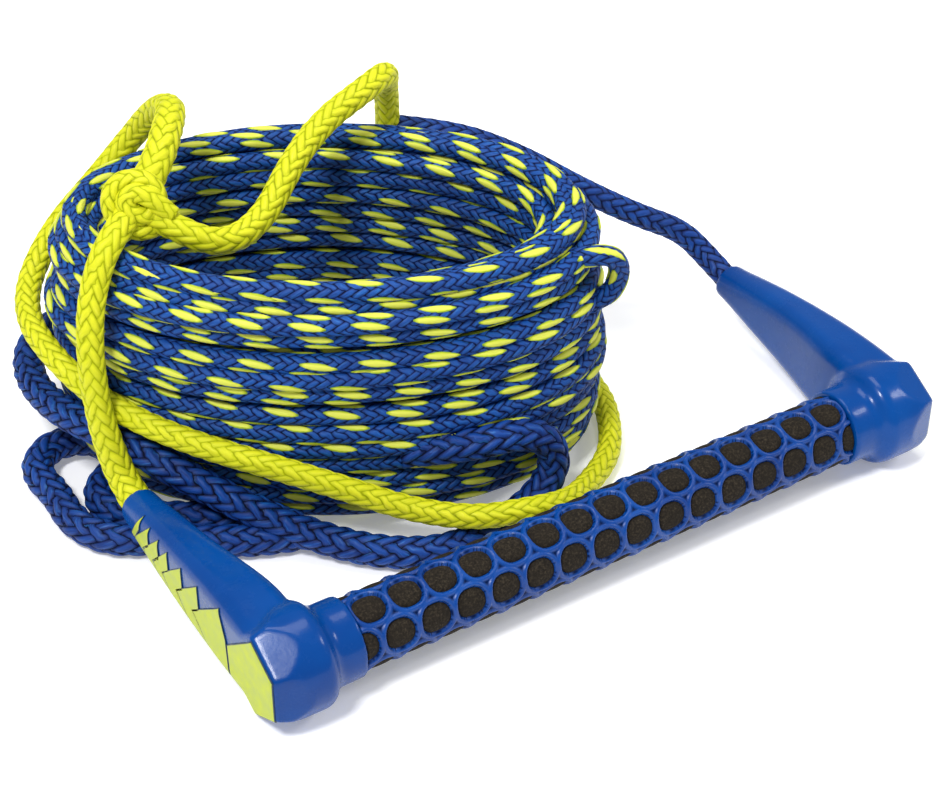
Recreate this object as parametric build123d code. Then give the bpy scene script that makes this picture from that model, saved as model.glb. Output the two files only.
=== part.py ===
from build123d import *
import os
from math import cos, pi, radians, sin, tan

# Tow rope handle for water skiing: a straight grip between two moulded end caps, a two-colour rope
# bridle, and the long main line laid up in one tall oval coil behind the handle.
# Millimetres, +Z up. +X runs along the grip, +Y from the grip towards the coil.
# The origin is on the floor, under the middle of the handle's own box, without its ropes.

# ---- handle ----
CAP_FACE_X = 150.0      # outer end face of each cap, from the middle
GRIP_HALF = 111.8       # half of the grip that shows between the caps
HEAD_R = 20.5           # barrel of the cap around the bar
COLLAR_R = 15.6         # short collar where the grip goes in
COLLAR_END_X = 120.5
BARREL_START_X = 129.5
HEX_START_X = 136.0     # where the six facets start to cut into the barrel
HEX_START_R = 23.7
HEX_FACE_R = 18.8       # corner radius of the six-sided end face
FACE_BEVEL = 1.0
BOOT_TIP_Y = 106.0      # end of the boot, from the bar's axis
BAR_Y = -(BOOT_TIP_Y - HEAD_R) / 2
BAR_Z = HEAD_R
TIP_Y = BAR_Y + BOOT_TIP_Y

# The boot's sections: distance from the bar's axis, inner side, half height, corner radius.
BOOT_SECTIONS = [
    (2.0, 129.0, 18.0, 6.5),
    (20.0, 126.8, 18.2, 6.5),
    (42.0, 130.0, 16.9, 6.2),
    (62.0, 132.9, 14.5, 6.0),
    (82.0, 134.2, 11.6, 6.6),
    (98.0, 134.8, 8.6, 7.0),
    (BOOT_TIP_Y, 134.9, 7.55, 7.4),
]

# ---- grip ----
TUBE_R = 11.1
TUBE_BORE_R = 9.5
TUBE_HALF = 140.0
PLUG_LENGTH = 14.0
SLEEVE_R = 12.9
CELL_R = 14.0           # top of the foam cells
SKIN_R = 14.3
CELLS_ALONG = 15
CELLS_AROUND = 6
CELL_PITCH = 14.9
CELL_TURN = 14.0        # the first row stands this far from straight up, towards the palm
WINDOW_R = 6.7          # corner radius of a six-sided window in the skin
CELL_GAP = 0.25

# ---- rope inside a cap: an eye round the bar, and its neck through the boot ----
EYE_R = 17.6
EYE_X = (132.0, 141.5)
EYE_NECK_Y = 50.0
NECK_R = 5.6
NECK_START_X = 139.0
NECK_END_X = 142.4

# ---- label on each cap's outer side, from the bar's axis ----
LABEL_T = 0.2
LABEL_HALF = [(47.0, 0.0), (35.0, 10.5), (21.0, 5.0), (3.0, 15.0), (-13.0, 7.6), (-13.0, 0.0)]
CHEVRONS = 6
CHEVRON_START = 50.5
CHEVRON_STEP = 7.2
CHEVRON_DROP = 0.4
CHEVRON_HALF = 9.4
CHEVRON_SHRINK = 1.25

# ---- ropes ----
BRIDLE_D = 10.5
MAIN_D = 8.0
LOOP_D = 12.5
KNOT_POS = (-112.0, 109.0, 121.0)
KNOT_RADII = (15.0, 18.0, 13.0)

# ---- coil of the main line ----
COIL_TURN = -32.6       # its long way, about +Z
COIL_CENTRE = (-43.0, 89.0)
COIL_HALF = (108.0, 67.0)
COIL_HOLE = (83.0, 41.0)
COIL_H = 108.0
COIL_ROUND = 11.0

# Each rope's route, chosen by hand: its points from one end to the other.
CAP_EXIT_LEFT = (-NECK_END_X, TIP_Y, BAR_Z)
CAP_EXIT_RIGHT = (NECK_END_X, TIP_Y, BAR_Z)
BRIDLE_JOIN = (22.5, 151.0, 92.5)
BRIDLE_LEFT = [
    CAP_EXIT_LEFT, (-142.8, 74, 24.5), (-145.2, 78.5, 38), (-147, 82, 57), (-145.5, 87, 80),
    (-140, 92.5, 100), (-129, 97.5, 117.5), KNOT_POS,
]
BRIDLE_LEAD = [
    KNOT_POS, (-101, 93, 113.5), (-85.5, 88.5, 105), (-66, 94.5, 107), (-46, 107.5, 119),
    (-26, 117.5, 126.5), (-6, 121, 132), (10, 129, 132), (18, 144, 119), (22, 150, 103),
    BRIDLE_JOIN,
]
BRIDLE_RIGHT = [
    CAP_EXIT_RIGHT, (142.2, 79, 24.5), (133.5, 88, 36.5), (115, 95, 46.5), (93, 107.5, 60.5),
    (69, 122, 78.5), (45, 138.5, 89.5), BRIDLE_JOIN,
]
LEAD_WRAP = [
    KNOT_POS, (-98.5, 117.5, 129), (-87, 130, 135), (-76.5, 147, 134), (-75.5, 165, 124),
    (-81.5, 176.5, 109), (-98, 176.5, 94.5), (-119.5, 176, 78.5), (-138.5, 164, 66),
    (-148.5, 143, 62.5), (-149.5, 120, 61), (-145, 99, 55.5), (-134.5, 78, 49),
    (-119, 56.5, 44.5), (-99.5, 34.5, 40.5), (-77.5, 18, 31.5), (-57, 5, 21), (-37, -10, 18),
    (-17, -18.5, 19.5), (3, -15.5, 12.5), (20, -5, 6.6), (37.5, 5.5, 6.2), (49, 20.5, 6.4),
    (58, 38.5, 6.2), (61, 58.5, 6.4), (57, 75.5, 6.6), (48, 86, 8),
]
TAKE_OFF_LOOP = [
    (-106, 164, 34), (-123, 175, 35), (-141, 167, 33), (-149.5, 149, 31), (-150, 127, 32.5),
    (-147, 106, 35.5), (-138.5, 87, 36), (-126, 64.5, 29.5), (-109, 44.5, 19), (-90, 26, 8.5),
    (-71, 3.5, 6.5), (-48, -10, 6.4), (-26, -7, 6.5), (-8, -4, 7.2), (6, -2, 17.5),
    (4, -0.5, 33.5), (-11, 0.5, 41.5), (-31, 4.5, 40.5), (-50, 20, 36),
]
GROUND_LOOP = [
    (-119, 103, 9), (-129.5, 116, 8.5), (-138, 129, 8), (-152.4, 131, 7.5), (-162.6, 120.8, 6.8),
    (-160.5, 103, 6.4), (-162.5, 84, 6.5), (-155, 66.5, 6.4), (-139, 57, 6.5), (-119, 42.5, 6.4),
    (-102, 33, 6.5), (-88, 29, 6.4),
]
FOLD_STRAND = [
    (-116, 94, 8), (-128.6, 102.2, 7.5), (-137.1, 102.3, 7), (-144.4, 98, 6.5), (-148.6, 88.5, 6.4),
    (-145, 77, 6.5), (-134.5, 70, 6.4), (-122, 61.5, 6.4), (-110, 54, 6.5), (-97, 51, 6.4),
]
SIDE_BIGHT = [
    (24, 22, 96.5), (33, 13, 101), (42, 12, 96.5), (46, 15, 85.5), (42, 18, 74), (31.5, 26, 68.5),
]


def at_bar(y=0.0, z=0.0):
    return Location((0, BAR_Y + y, BAR_Z + z))


def x_cylinder(radius, x0, x1):
    """A cylinder along X on the bar's axis."""
    middle = Location(((x0 + x1) / 2, BAR_Y, BAR_Z), (0, 90, 0))
    return middle * Cylinder(radius, x1 - x0)


def hexagon(x, radius):
    """Six-sided outline across the bar at x, with a corner straight up."""
    corners = [
        (x, BAR_Y + radius * cos(radians(90 + 60 * k)), BAR_Z + radius * sin(radians(90 + 60 * k)))
        for k in range(6)
    ]
    return Face(Wire.make_polygon([Vector(*c) for c in corners], close=True))


def cap_head():
    """Collar, neck and barrel turned about the bar, cut by six facets at the outer end."""
    with BuildSketch(Plane.XZ) as profile:
        with BuildLine():
            collar = Line((GRIP_HALF, COLLAR_R), (COLLAR_END_X, COLLAR_R))
            mid_x = (COLLAR_END_X + BARREL_START_X) / 2
            mid_r = (COLLAR_R + HEAD_R) / 2
            neck = TangentArc(collar @ 1, (mid_x, mid_r), tangent=(1, 0))
            TangentArc((BARREL_START_X, HEAD_R), neck @ 1, tangent=(-1, 0))
            Line((BARREL_START_X, HEAD_R), (CAP_FACE_X, HEAD_R))
            Line((CAP_FACE_X, HEAD_R), (CAP_FACE_X, 0))
            Line((CAP_FACE_X, 0), (GRIP_HALF, 0))
            Line((GRIP_HALF, 0), (GRIP_HALF, COLLAR_R))
        make_face()
    barrel = at_bar() * revolve(profile.sketch, Axis.X)
    bevel_x = CAP_FACE_X - FACE_BEVEL
    clear_r = HEX_START_R + HEX_START_X - GRIP_HALF
    facets = Solid.make_loft([
        hexagon(GRIP_HALF, clear_r).outer_wire(),
        hexagon(HEX_START_X, HEX_START_R).outer_wire(),
        hexagon(bevel_x, HEX_FACE_R).outer_wire(),
        hexagon(CAP_FACE_X, HEX_FACE_R - FACE_BEVEL).outer_wire(),
    ], ruled=True)
    return barrel & facets


def cap_boot():
    """The boot from the barrel to the rope's exit, flat on its outer side."""
    sections = []
    for y, inner_x, half_z, corner in BOOT_SECTIONS:
        width = CAP_FACE_X - inner_x
        centre = ((CAP_FACE_X + inner_x) / 2, BAR_Y + y, BAR_Z)
        plane = Plane(origin=centre, x_dir=(1, 0, 0), z_dir=(0, 1, 0))
        sections.append(plane * RectangleRounded(width, 2 * half_z, min(corner, width / 2 - 0.1)))
    return loft(sections)


def rope_eye():
    """The bridle's end inside a cap: a flat eye round the bar, and its neck to the exit."""
    apex = BAR_Y + EYE_NECK_Y
    slope_y = BAR_Y + 6.0
    with BuildSketch(Plane.YZ.offset(EYE_X[0])) as outline:
        with Locations((BAR_Y, BAR_Z)):
            Circle(EYE_R)
        with BuildLine():
            Polyline((slope_y, BAR_Z + EYE_R - 1.2), (apex, BAR_Z + NECK_R), (apex, BAR_Z - NECK_R),
                     (slope_y, BAR_Z - EYE_R + 1.2), close=True)
        make_face()
    eye = extrude(outline.sketch, EYE_X[1] - EYE_X[0]) - x_cylinder(TUBE_R, EYE_X[0] - 1, EYE_X[1] + 1)
    start = Plane(origin=(NECK_START_X - 2.2, apex - 12, BAR_Z), x_dir=(1, 0, 0), z_dir=(0, 1, 0))
    end = Plane(origin=(NECK_END_X, TIP_Y, BAR_Z), x_dir=(1, 0, 0), z_dir=(0, 1, 0))
    neck = loft([start * Circle(NECK_R - 0.9), end * Circle(NECK_R)])
    return eye + neck


def label():
    """Plate and chevrons on the outer side, as one group of thin solids."""
    def plate(points):
        wire = Wire.make_polygon([Vector(CAP_FACE_X, BAR_Y + y, BAR_Z + z) for y, z in points], close=True)
        return Solid.extrude(Face(wire), Vector(LABEL_T, 0, 0))

    lower_half = [(y, -z) for y, z in reversed(LABEL_HALF[1:-1])]
    pieces = [plate(LABEL_HALF[:-1] + lower_half)]
    for k in range(CHEVRONS):
        tip = CHEVRON_START + CHEVRON_STEP * k
        half = CHEVRON_HALF - CHEVRON_SHRINK * k
        deep = CHEVRON_STEP * 0.82 - CHEVRON_DROP * k
        pieces.append(plate([
            (tip + deep * 0.4, 0), (tip - half * 0.75, half), (tip - half * 0.75 - deep, half),
            (tip + deep * 0.4 - deep, 0), (tip - half * 0.75 - deep, -half), (tip - half * 0.75, -half),
        ]))
    return Compound(pieces)


def mirrored(shape):
    return mirror(shape, Plane.YZ)


def windows(radius, low_r, high_r):
    """Six-sided prisms that stand out from the bar's axis in staggered rings."""
    prisms = []
    for row in range(CELLS_AROUND):
        count = CELLS_ALONG + row % 2
        for k in range(count):
            x = (k - (count - 1) / 2) * CELL_PITCH
            base = Location((x, BAR_Y, BAR_Z), (360 / CELLS_AROUND * row + CELL_TURN, 0, 0))
            prism = extrude(RegularPolygon(radius, 6, rotation=30), high_r - low_r)
            prisms.append(base * Location((0, 0, low_r)) * prism)
    return prisms


def ring(inner_r, outer_r, half):
    return x_cylinder(outer_r, -half, half) - x_cylinder(inner_r, -half - 1, half + 1)


def grip_parts():
    skin = ring(SLEEVE_R, SKIN_R, GRIP_HALF) - windows(WINDOW_R, TUBE_R, SKIN_R + 4)
    cells = ring(SLEEVE_R, CELL_R, GRIP_HALF) & Compound(windows(WINDOW_R - CELL_GAP, TUBE_R, SKIN_R + 4))
    sleeve = ring(TUBE_R, SLEEVE_R, GRIP_HALF) + cells.solids()
    return skin, sleeve


def corner_radii(points):
    """The radius at each inner point: 0.45 of the shorter run over the tangent of half the turn."""
    radii = []
    for a, b, c in zip(points, points[1:], points[2:]):
        run_in, run_out = Vector(*b) - Vector(*a), Vector(*c) - Vector(*b)
        half_turn = radians(run_in.get_angle(run_out)) / 2
        radii.append(0.45 * min(run_in.length, run_out.length) / tan(half_turn))
    return radii


def rope(name, points, diameter):
    """A tube along straight runs joined by tangent arcs."""
    radii = corner_radii(points)
    path = FilletPolyline(*points, radius=radii)
    start = Plane(origin=path @ 0, z_dir=path % 0)
    tube = sweep(start * Circle(diameter / 2), path)
    expected = pi * diameter ** 2 / 4 * path.length
    runs = [(Vector(*b) - Vector(*a)).length for a, b in zip(points, points[1:])]
    print(f"{name}: length {path.length:.0f}, tightest {min(radii):.0f} = {min(radii) / diameter:.1f} d, "
          f"volume/section {tube.volume / expected:.4f}, runs {min(runs):.0f}-{max(runs):.0f}")
    return tube


def coil_solid():
    """The coil's outer shape: a tall oval ring with rounded edges."""
    outer = extrude(Ellipse(*COIL_HALF), COIL_H)
    hole = extrude(Ellipse(*COIL_HOLE), COIL_H)
    body = outer - hole
    body = fillet(body.edges(), COIL_ROUND)
    return Location((*COIL_CENTRE, 0), (0, 0, COIL_TURN)) * body


def knot_solid():
    return Location(KNOT_POS) * scale(Sphere(1.0), by=KNOT_RADII)


def main():
    os.makedirs("parts", exist_ok=True)
    socket = x_cylinder(TUBE_R, GRIP_HALF - 1, TUBE_HALF)
    eye = rope_eye()
    cap = cap_head() + cap_boot() - socket - eye
    plug = x_cylinder(TUBE_BORE_R, TUBE_HALF - PLUG_LENGTH, TUBE_HALF)
    skin, sleeve = grip_parts()
    knot = knot_solid()
    coil = coil_solid()
    cap_left, eye_left = mirrored(cap), mirrored(eye)
    bridle_left = rope("bridle_rope_left", BRIDLE_LEFT, BRIDLE_D) - knot - coil - cap_left - eye_left
    bridle_right = rope("bridle_rope_right", BRIDLE_RIGHT, BRIDLE_D) - cap - eye
    lead_wrap = rope("lead_wrap", LEAD_WRAP, BRIDLE_D) - knot - coil - bridle_left
    take_off_loop = rope("take_off_loop", TAKE_OFF_LOOP, LOOP_D) - coil - bridle_left - lead_wrap
    ground_loop = rope("ground_loop", GROUND_LOOP, LOOP_D) - coil - take_off_loop - cap_left
    fold_strand = rope("fold_strand", FOLD_STRAND, LOOP_D) - coil - ground_loop - take_off_loop
    nodes = {
        "bar_tube": ring(TUBE_BORE_R, TUBE_R, TUBE_HALF),
        "bar_foam_core": x_cylinder(TUBE_BORE_R, PLUG_LENGTH - TUBE_HALF, TUBE_HALF - PLUG_LENGTH),
        "grip_foam_sleeve": sleeve,
        "grip_honeycomb_skin": skin,
        "bridle_knot": knot,
        "bridle_rope_left": bridle_left,
        "bridle_rope_right": bridle_right,
        "bridle_lead": rope("bridle_lead", BRIDLE_LEAD, BRIDLE_D) - knot - bridle_right,
        "lead_wrap": lead_wrap,
        "take_off_loop": take_off_loop,
        "ground_loop": ground_loop,
        "fold_strand": fold_strand,
        "side_bight": rope("side_bight", SIDE_BIGHT, MAIN_D) - coil,
        "mainline_coil": coil,
    }
    for piece, shape in {"end_cap": cap, "tube_plug": plug, "rope_eye": eye, "cap_label": label()}.items():
        nodes[piece + "_right"] = shape
        nodes[piece + "_left"] = mirrored(shape)
    for node, shape in nodes.items():
        export_step(shape, f"parts/{node}.step")


main()
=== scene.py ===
"""The looks of the tow rope handle: braided ropes, the coil of main line, the grip and its end caps.

Metres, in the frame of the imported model. The camera and the ropes come first, then the materials,
the handle's pieces, the ropes' facts and the studio.
"""

from math import cos, pi, radians, sin

import bmesh
import bpy
import numpy as np
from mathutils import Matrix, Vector, noise
from mathutils.bvhtree import BVHTree


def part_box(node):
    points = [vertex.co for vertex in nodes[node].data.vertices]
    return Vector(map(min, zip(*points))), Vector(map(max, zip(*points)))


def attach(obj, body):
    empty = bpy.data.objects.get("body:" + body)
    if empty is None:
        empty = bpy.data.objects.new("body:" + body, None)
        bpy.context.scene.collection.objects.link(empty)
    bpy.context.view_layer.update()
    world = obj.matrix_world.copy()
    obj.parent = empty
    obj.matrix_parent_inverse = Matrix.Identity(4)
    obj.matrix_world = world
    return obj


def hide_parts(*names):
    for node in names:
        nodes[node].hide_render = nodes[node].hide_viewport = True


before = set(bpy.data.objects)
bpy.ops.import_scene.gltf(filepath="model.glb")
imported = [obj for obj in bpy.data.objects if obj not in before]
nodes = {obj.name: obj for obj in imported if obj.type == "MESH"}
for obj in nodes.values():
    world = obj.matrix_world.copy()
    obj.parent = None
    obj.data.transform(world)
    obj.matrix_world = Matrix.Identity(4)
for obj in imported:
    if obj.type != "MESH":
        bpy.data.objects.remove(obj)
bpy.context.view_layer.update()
MM = 0.001


# ---------------------------------------------------------------- camera

CAMERA_AT = (-0.3839, -0.5499, 0.5605)
CAMERA_TILT = 53.03     # degrees from straight down
CAMERA_YAW = -32.57
CAMERA_LENS = 84.26


def make_camera():
    """The one camera of the main view."""
    camera = bpy.data.objects.new("camera", bpy.data.cameras.new("camera"))
    camera.data.lens = CAMERA_LENS
    camera.location = CAMERA_AT
    camera.rotation_euler = (radians(CAMERA_TILT), 0, radians(CAMERA_YAW))
    bpy.context.scene.collection.objects.link(camera)
    bpy.context.scene.camera = camera


# ---------------------------------------------------------------- ropes: routes

CAP_EXIT_LEFT = (-0.1424, 0.06325, 0.0205)
CAP_EXIT_RIGHT = (0.1424, 0.06325, 0.0205)
BRIDLE_JOIN = (0.0225, 0.151, 0.0925)
KNOT_POS = (-0.112, 0.109, 0.121)
BRIDLE_LEFT = [
    CAP_EXIT_LEFT, (-0.1428, 0.074, 0.0245), (-0.1452, 0.0785, 0.038), (-0.147, 0.082, 0.057),
    (-0.1455, 0.087, 0.08), (-0.14, 0.0925, 0.1), (-0.129, 0.0975, 0.1175), KNOT_POS,
]
BRIDLE_LEAD = [
    KNOT_POS, (-0.101, 0.093, 0.1135), (-0.0855, 0.0885, 0.105), (-0.066, 0.0945, 0.107),
    (-0.046, 0.1075, 0.119), (-0.026, 0.1175, 0.1265), (-0.006, 0.121, 0.132),
    (0.01, 0.129, 0.132), (0.018, 0.144, 0.119), (0.022, 0.15, 0.103), BRIDLE_JOIN,
]
BRIDLE_RIGHT = [
    CAP_EXIT_RIGHT, (0.1422, 0.079, 0.0245), (0.1335, 0.088, 0.0365), (0.115, 0.095, 0.0465),
    (0.093, 0.1075, 0.0605), (0.069, 0.122, 0.0785), (0.045, 0.1385, 0.0895), BRIDLE_JOIN,
]
LEAD_WRAP = [
    KNOT_POS, (-0.0985, 0.1175, 0.129), (-0.087, 0.13, 0.135), (-0.0765, 0.147, 0.134),
    (-0.0755, 0.165, 0.124), (-0.0815, 0.1765, 0.109), (-0.098, 0.1765, 0.0945),
    (-0.1195, 0.176, 0.0785), (-0.1385, 0.164, 0.066), (-0.1485, 0.143, 0.0625),
    (-0.1495, 0.12, 0.061), (-0.145, 0.099, 0.0555), (-0.1345, 0.078, 0.049),
    (-0.119, 0.0565, 0.0445), (-0.0995, 0.0345, 0.0405), (-0.0775, 0.018, 0.0315),
    (-0.057, 0.005, 0.021), (-0.037, -0.01, 0.018), (-0.017, -0.0185, 0.0195),
    (0.003, -0.0155, 0.0125), (0.02, -0.005, 0.0066), (0.0375, 0.0055, 0.0062),
    (0.049, 0.0205, 0.0064), (0.058, 0.0385, 0.0062), (0.061, 0.0585, 0.0064),
    (0.057, 0.0755, 0.0066), (0.048, 0.086, 0.008),
]
WRAP_TUCK = (0.0405, 0.0885, 0.009)     # the wrap's end, tucked between the coil's turns
TAKE_OFF_LOOP = [
    (-0.106, 0.164, 0.034), (-0.123, 0.175, 0.035), (-0.141, 0.167, 0.033),
    (-0.1495, 0.149, 0.031), (-0.15, 0.127, 0.0325), (-0.147, 0.106, 0.0355),
    (-0.1385, 0.087, 0.036), (-0.126, 0.0645, 0.0295), (-0.109, 0.0445, 0.019),
    (-0.09, 0.026, 0.0085), (-0.071, 0.0035, 0.0065), (-0.048, -0.01, 0.0064),
    (-0.026, -0.007, 0.0065), (-0.008, -0.004, 0.0072), (0.006, -0.002, 0.0175),
    (0.004, -0.0005, 0.0335), (-0.011, 0.0005, 0.0415), (-0.031, 0.0045, 0.0405),
    (-0.05, 0.02, 0.036),
]
GROUND_LOOP = [
    (-0.119, 0.103, 0.009), (-0.1295, 0.116, 0.0085), (-0.138, 0.129, 0.008),
    (-0.1524, 0.131, 0.0075), (-0.1626, 0.1208, 0.0068), (-0.1605, 0.103, 0.0064),
    (-0.1625, 0.084, 0.0065), (-0.155, 0.0665, 0.0064), (-0.139, 0.057, 0.0065),
    (-0.119, 0.0425, 0.0064), (-0.102, 0.033, 0.0065), (-0.088, 0.029, 0.0064),
]
FOLD_STRAND = [
    (-0.116, 0.094, 0.008), (-0.1286, 0.1022, 0.0075), (-0.1371, 0.1023, 0.007),
    (-0.1444, 0.098, 0.0065), (-0.1486, 0.0885, 0.0064), (-0.145, 0.077, 0.0065),
    (-0.1345, 0.07, 0.0064), (-0.122, 0.0615, 0.0064), (-0.11, 0.054, 0.0065),
    (-0.097, 0.051, 0.0064),
]
SIDE_BIGHT = [
    (0.024, 0.022, 0.0965), (0.033, 0.013, 0.101), (0.042, 0.012, 0.0965),
    (0.046, 0.015, 0.0855), (0.042, 0.018, 0.074), (0.0315, 0.026, 0.0685),
]

# ---- the coil of main line: an oval stack of turns, three columns deep with a heaped crest ----
COIL_TURN = radians(-32.6)
COIL_CENTRE = (-0.043, 0.089)
COIL_START = radians(44)
COLUMNS = [(0.104, 0.063), (0.096, 0.055), (0.088, 0.047)]     # half sizes of each column's oval
CREST = [(0.1, 0.0595), (0.093, 0.053), (0.1, 0.0595)]
ROWS = 13
ROW_PITCH = 0.0079
FIRST_ROW_Z = 0.0045
CREST_Z = 0.1055
POINTS_PER_TURN = 16
BULGE = 0.0045          # the middle rows stand this much further out
BULGE_HEIGHT = 0.1      # the bulge is back to nothing at this height
WANDER = 0.0034         # how far a turn strays from its place, slowly along the line
WANDER_UP = 0.8         # share of that wander in the up direction
TREMOR = 0.0011
FLOOR_CLEARANCE = 0.0002

BRIDLE_D = 0.0105
MAIN_D = 0.008
LOOP_D = 0.0125


def wobble(x, y, z):
    """Two smooth uneven numbers for a place; they are the same on every run."""
    return noise.noise(Vector((x, y, z))), noise.noise(Vector((x + 31.7, y - 12.3, z + 8.9)))


def coil_points():
    """The main line's own points: up the outer column, down the middle one, up the inner one,
    then round the crest."""
    places = []
    for column, half in enumerate(COLUMNS):
        heights = [FIRST_ROW_Z + ROW_PITCH * row for row in range(ROWS)]
        if column % 2:
            heights.reverse()
        places += [(half, z) for z in heights]
    places += [(half, CREST_Z) for half in CREST]
    count = len(places) * POINTS_PER_TURN
    points = []
    for i in range(count):
        at = i / POINTS_PER_TURN
        turn = int(at)
        share = at - turn
        (a0, b0), z0 = places[turn]
        (a1, b1), z1 = places[min(turn + 1, len(places) - 1)]
        level = z0 + (z1 - z0) * share
        swell = BULGE * sin(pi * min(max(level / BULGE_HEIGHT, 0), 1))
        stray = wobble(at * 0.9, turn * 0.37, 4.1)
        shake = wobble(i * 0.9, 7.7, 1.3)
        out = swell + WANDER * stray[0] + TREMOR * shake[0]
        lift = WANDER * stray[1] * WANDER_UP + TREMOR * shake[1]
        a = a0 + (a1 - a0) * share + out
        b = b0 + (b1 - b0) * share + out
        angle = COIL_START + 2 * pi * share
        u, v = a * cos(angle), b * sin(angle)
        x = COIL_CENTRE[0] + u * cos(COIL_TURN) - v * sin(COIL_TURN)
        y = COIL_CENTRE[1] + u * sin(COIL_TURN) + v * cos(COIL_TURN)
        points.append((x, y, max(level + lift, MAIN_D / 2 + FLOOR_CLEARANCE)))
    return points


# ---------------------------------------------------------------- ropes: meshes

STRANDS = 8
KNOT_STRANDS = 6
BRIDLE_PITCH = 0.0062   # along the rope, from one stitch to the next
LOOP_PITCH = 0.0072
KNOT_PITCH = 0.0056
MAIN_PITCH = 0.0046
MAIN_RELIEF = 0.00022
BRIDLE_BRAID = dict(radius=BRIDLE_D / 2, around=64, strands=STRANDS, pitch=BRIDLE_PITCH, depth=0.0006)
LOOP_BRAID = dict(radius=LOOP_D / 2, around=64, strands=STRANDS, pitch=LOOP_PITCH, depth=0.0013)
KNOT_BRAID = dict(radius=0.0039, around=48, strands=KNOT_STRANDS, pitch=KNOT_PITCH, depth=0.0005)
FINE_STEP = 0.0009      # between the rings of a rope's mesh
ROPE_STEP = 0.0011
BIGHT_STEP = 0.0015
COIL_STEP = 0.0062
TIP_REACH = 0.35        # a rope's closed tip stands out by this share of a step


def smooth_line(points, step, resolution=32):
    """Evenly spaced points on the smooth line whose control points these are."""
    curve = bpy.data.curves.new("line", "CURVE")
    curve.dimensions = "3D"
    curve.resolution_u = resolution
    spline = curve.splines.new("NURBS")
    spline.points.add(len(points) - 1)
    for point, place in zip(spline.points, points):
        point.co = (*place, 1)
    spline.order_u = 3
    spline.use_endpoint_u = True
    holder = bpy.data.objects.new("line", curve)
    mesh = bpy.data.meshes.new_from_object(holder)
    line = np.array([v.co for v in mesh.vertices])
    bpy.data.objects.remove(holder)
    bpy.data.curves.remove(curve)
    bpy.data.meshes.remove(mesh)
    along = distances(line)
    even = np.linspace(0, along[-1], max(8, int(round(along[-1] / step))) + 1)
    return np.stack([np.interp(even, along, line[:, k]) for k in range(3)], 1)


def distances(line):
    """How far along the line each of its points is."""
    steps = np.linalg.norm(np.diff(line, axis=0), axis=1)
    return np.concatenate([[0], np.cumsum(steps)])


def unit(rows):
    """Each row as a direction of length 1."""
    return rows / np.linalg.norm(rows, axis=1)[:, None]


def line_frames(line):
    """Two sideways directions at each point of a line, turned as little as possible along it."""
    tangent = unit(np.gradient(line, axis=0))
    side = np.cross(tangent[0], (0, 0, 1.0))
    if np.linalg.norm(side) < 0.1:
        side = np.cross(tangent[0], (1.0, 0, 0))
    sides = []
    for t in tangent:
        side = side - t * side.dot(t)
        side = side / np.linalg.norm(side)
        sides.append(side)
    sides = np.array(sides)
    return tangent, sides, np.cross(tangent, sides)


def braid_height(across, along):
    """Height, 0 to 1, of a rope's twill braid, where each strand goes over two and under two.
    across and along are in strands."""
    p, q = across + along, across - along
    first = ((p + np.floor(q)) % 4) / 2
    second = ((q + np.floor(p)) % 4) / 2 - 1
    over = first < 1
    round_p, round_q = np.sin(pi * (p % 1)) ** 0.6, np.sin(pi * (q % 1)) ** 0.6
    crown_first = 0.5 + 0.5 * np.sin(pi * np.clip(first, 0, 1)) ** 0.7
    crown_second = 0.5 + 0.5 * np.sin(pi * np.clip(second, 0, 1)) ** 0.7
    return np.where(over, round_q * crown_first, round_p * crown_second)


def new_mesh(name, points, faces):
    """A smooth-shaded piece with these points and faces."""
    mesh = bpy.data.meshes.new(name)
    mesh.from_pydata([tuple(p) for p in points], [], [tuple(f) for f in faces])
    mesh.polygons.foreach_set("use_smooth", np.ones(len(mesh.polygons), bool))
    mesh.update()
    obj = bpy.data.objects.new(name, mesh)
    bpy.context.scene.collection.objects.link(obj)
    return obj


def grid_faces(rows, columns, first=0):
    """Quads of a grid that closes on itself across its columns."""
    i, j = np.meshgrid(np.arange(rows - 1), np.arange(columns), indexing="ij")
    k = (j + 1) % columns
    near, far = i * columns, (i + 1) * columns
    corners = np.stack([near + j, near + k, far + k, far + j], -1)
    return corners.reshape(-1, 4) + first


def write_lay(mesh, values):
    """The corner attribute that the rope materials read."""
    attribute = mesh.attributes.new("lay", "FLOAT_VECTOR", "CORNER")
    full = np.zeros((len(mesh.loops), 3), np.float32)
    full[:len(values)] = values
    attribute.data.foreach_set("vector", full.ravel())


def braided_tube(line, radius, around, strands, pitch, depth, widths=None):
    """Points, faces and lay of a braided tube round a line. widths scales its radius along the line.
    Its lay is the share around and the metres along."""
    along = distances(line)
    _, side, up = line_frames(line)
    turn = 2 * pi * np.arange(around) / around
    ring = (np.cos(turn)[None, :, None] * side[:, None, :]
            + np.sin(turn)[None, :, None] * up[:, None, :])
    share = np.arange(around) / around
    relief = braid_height(share[None, :] * strands, along[:, None] / pitch)
    scale = np.ones(len(line)) if widths is None else widths(along / along[-1])
    radii = radius * scale[:, None] + depth * (relief - 0.75)
    points = (line[:, None, :] + ring * radii[:, :, None]).reshape(-1, 3)
    i, j = np.meshgrid(np.arange(len(line) - 1), np.arange(around), indexing="ij")
    across = np.stack([j, j + 1, j + 1, j], -1) / around
    far = np.stack([along[i], along[i], along[i + 1], along[i + 1]], -1)
    lay = np.stack([across.reshape(-1), far.reshape(-1), np.zeros(far.size)], 1)
    return points, grid_faces(len(line), around), lay


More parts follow.
